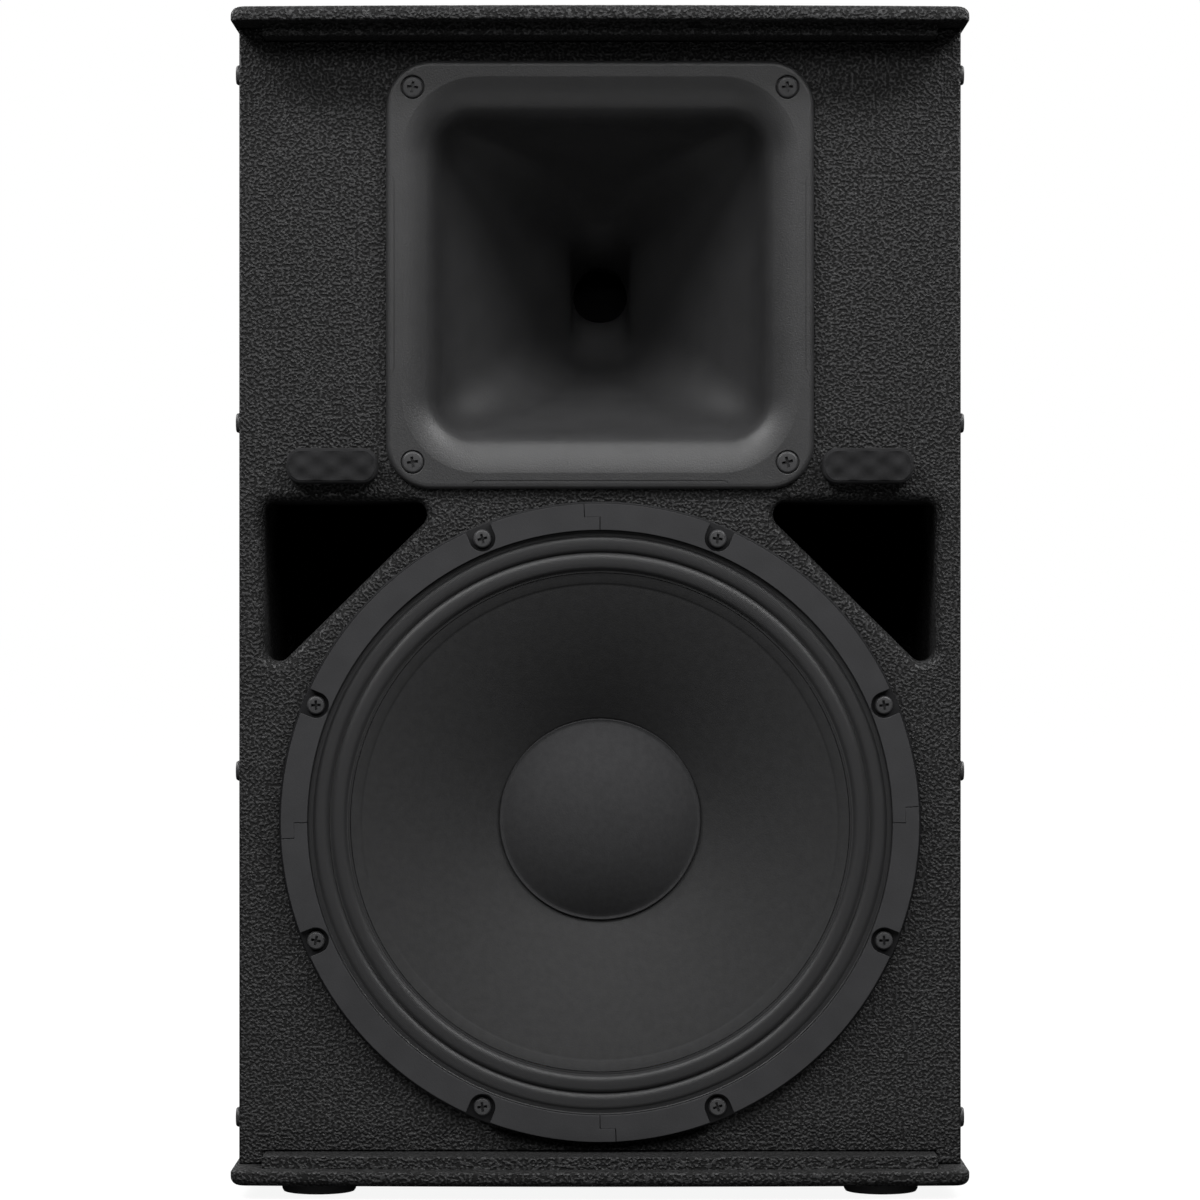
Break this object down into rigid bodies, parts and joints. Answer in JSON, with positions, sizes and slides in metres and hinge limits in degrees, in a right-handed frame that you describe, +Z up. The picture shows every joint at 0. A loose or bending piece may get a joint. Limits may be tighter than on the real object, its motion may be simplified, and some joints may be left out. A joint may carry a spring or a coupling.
{
  "type": "pa speaker cabinet",
  "caption": "Black two-way 15 inch plywood PA loudspeaker cabinet, grille off: square horn over a large woofer, triangular corner ports, overhanging top and bottom panels.",
  "frame": {"origin": "centre of the box round the cabinet, at the floor under the feet", "axes": "+X to the viewer's right when facing the front, +Y from the front towards the back, +Z up; left and right in names are the viewer's"},
  "size_m": [0.438, 0.374, 0.706],
  "materials": {
    "textured_coating": "black textured polyurea-like coating on plywood, matt",
    "birch_plywood": "bare birch plywood, sanded",
    "port_paint": "flat black paint on plywood",
    "horn_plastic": "moulded black plastic, fine satin grain",
    "black_plastic": "moulded black plastic, lightly grained",
    "grille_foam": "dense black foam, dimpled face",
    "foot_rubber": "black moulded rubber",
    "black_steel": "blackened steel",
    "zinc_steel": "bright zinc-plated steel",
    "basket_paint": "black powder paint on pressed steel",
    "gasket_board": "charcoal pressed fibre board",
    "paper_cone": "black pressed paper pulp, matt",
    "dust_cap": "black felted paper, matt",
    "surround_cloth": "doped black cloth, slight sheen",
    "spider_cloth": "resin-treated cotton cloth",
    "coil_wire": "enamelled winding wire",
    "ferrite": "dark sintered ferrite",
    "diaphragm_film": "thin formed film, dark",
    "circuit_board": "green circuit board",
    "capacitor_shell": "yellow film capacitor"
  },
  "bodies": {
    "cabinet": {"top_panel": "textured_coating", "bottom_panel": "textured_coating", "rear_panel": "textured_coating", "baffle": "textured_coating", "side_panel_left": "textured_coating", "rear_corner_panel_left": "textured_coating", "port_shelf_left": "port_paint", "port_slant_left": "port_paint", "grille_pad_left": "grille_foam", "foot_front_left": "foot_rubber", "foot_rear_left": "foot_rubber", "handle_cup_left": "black_plastic", "handle_bar_left": "black_plastic", "input_socket_left": "black_plastic", "gasket_upper_left": "gasket_board", "gasket_lower_left": "gasket_board", "side_panel_right": "textured_coating", "rear_corner_panel_right": "textured_coating", "port_shelf_right": "port_paint", "port_slant_right": "port_paint", "grille_pad_right": "grille_foam", "foot_front_right": "foot_rubber", "foot_rear_right": "foot_rubber", "handle_cup_right": "black_plastic", "handle_bar_right": "black_plastic", "input_socket_right": "black_plastic", "gasket_upper_right": "gasket_board", "gasket_lower_right": "gasket_board", "cross_brace": "birch_plywood", "pole_socket": "black_steel", "input_plate": "black_steel", "driver_body": "black_steel", "woofer_basket": "basket_paint", "surround": "surround_cloth", "spider": "spider_cloth", "crossover_coil": "coil_wire", "front_plate": "zinc_steel", "back_plate": "zinc_steel", "magnet": "ferrite", "woofer_screw_1": "black_steel", "woofer_screw_2": "black_steel", "woofer_screw_3": "black_steel", "woofer_screw_4": "black_steel", "woofer_screw_5": "black_steel", "woofer_screw_6": "black_steel", "woofer_screw_7": "black_steel", "woofer_screw_8": "black_steel", "horn": "horn_plastic", "horn_screw_1": "black_steel", "horn_screw_2": "black_steel", "horn_screw_3": "black_steel", "horn_screw_4": "black_steel", "driver_cover": "black_plastic", "crossover_board": "circuit_board", "crossover_capacitor_1": "capacitor_shell", "crossover_capacitor_2": "capacitor_shell"},
    "cone_assembly": {"cone": "paper_cone", "dust_cap": "dust_cap", "voice_coil": "coil_wire"},
    "driver_diaphragm": {"diaphragm": "diaphragm_film"}
  },
  "joints": [
    {"name": "cone_stroke", "type": "slide", "parent": "cabinet", "child": "cone_assembly", "axis": [0, -1, 0], "range_m": [-0.006, 0.006], "stiffness_N_per_m": 8000, "deforming": ["surround", "spider"]},
    {"name": "diaphragm_stroke", "type": "slide", "parent": "cabinet", "child": "driver_diaphragm", "axis": [0, -1, 0], "range_m": [-0.0004, 0.0004], "stiffness_N_per_m": 400}
  ]
}
